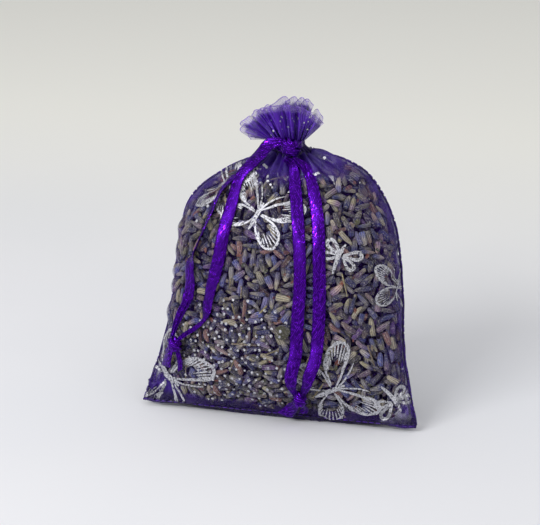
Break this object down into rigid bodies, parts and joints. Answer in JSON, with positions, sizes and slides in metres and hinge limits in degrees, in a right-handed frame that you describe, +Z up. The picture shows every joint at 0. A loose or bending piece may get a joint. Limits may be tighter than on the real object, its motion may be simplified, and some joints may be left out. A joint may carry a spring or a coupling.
{
  "type": "lavender sachet",
  "caption": "Small sheer drawstring bag packed with dried lavender buds, gathered at the neck under a pleated ruffle, with satin ribbons knotted at their ends and hanging down the front.",
  "frame": {"origin": "in the flat foot that the filled bag stands on, below the middle of the bag", "axes": "+Z up along the bag to its ruffle, -Y out of the front that carries the ribbons, +X to the viewer's right"},
  "size_m": [0.0942, 0.04, 0.1009],
  "materials": {
    "organza": "sheer purple organza",
    "seam_cloth": "several layers of purple organza",
    "satin": "shiny purple satin ribbon",
    "lavender": "dried grey-violet lavender buds"
  },
  "bodies": {
    "bag": {"front_panel": "organza", "back_panel": "organza", "left_side_seam": "seam_cloth", "right_side_seam": "seam_cloth", "bottom_seam": "seam_cloth", "lavender_fill": "lavender", "neck_gather": "seam_cloth", "neck_casing": "seam_cloth", "front_ruffle": "organza", "back_ruffle": "organza", "left_drawstring": "satin", "right_drawstring": "satin", "neck_knot": "satin"},
    "left_tail": {"left_ribbon_inner": "satin", "left_ribbon_outer": "satin", "left_end_knot": "satin", "left_tail_inner": "satin", "left_tail_outer": "satin"},
    "right_tail": {"right_ribbon_inner": "satin", "right_ribbon_outer": "satin", "right_end_knot": "satin", "right_tail_inner": "satin", "right_tail_outer": "satin"}
  },
  "joints": [
    {"name": "left_tail_lift", "type": "hinge", "parent": "bag", "child": "left_tail", "pos_m": [-0.004, -0.0015, 0.0885], "axis": [-1, 0, 0], "range_deg": [0, 80]},
    {"name": "right_tail_lift", "type": "hinge", "parent": "bag", "child": "right_tail", "pos_m": [0.002, -0.0025, 0.085], "axis": [-1, 0, 0], "range_deg": [0, 80]}
  ]
}
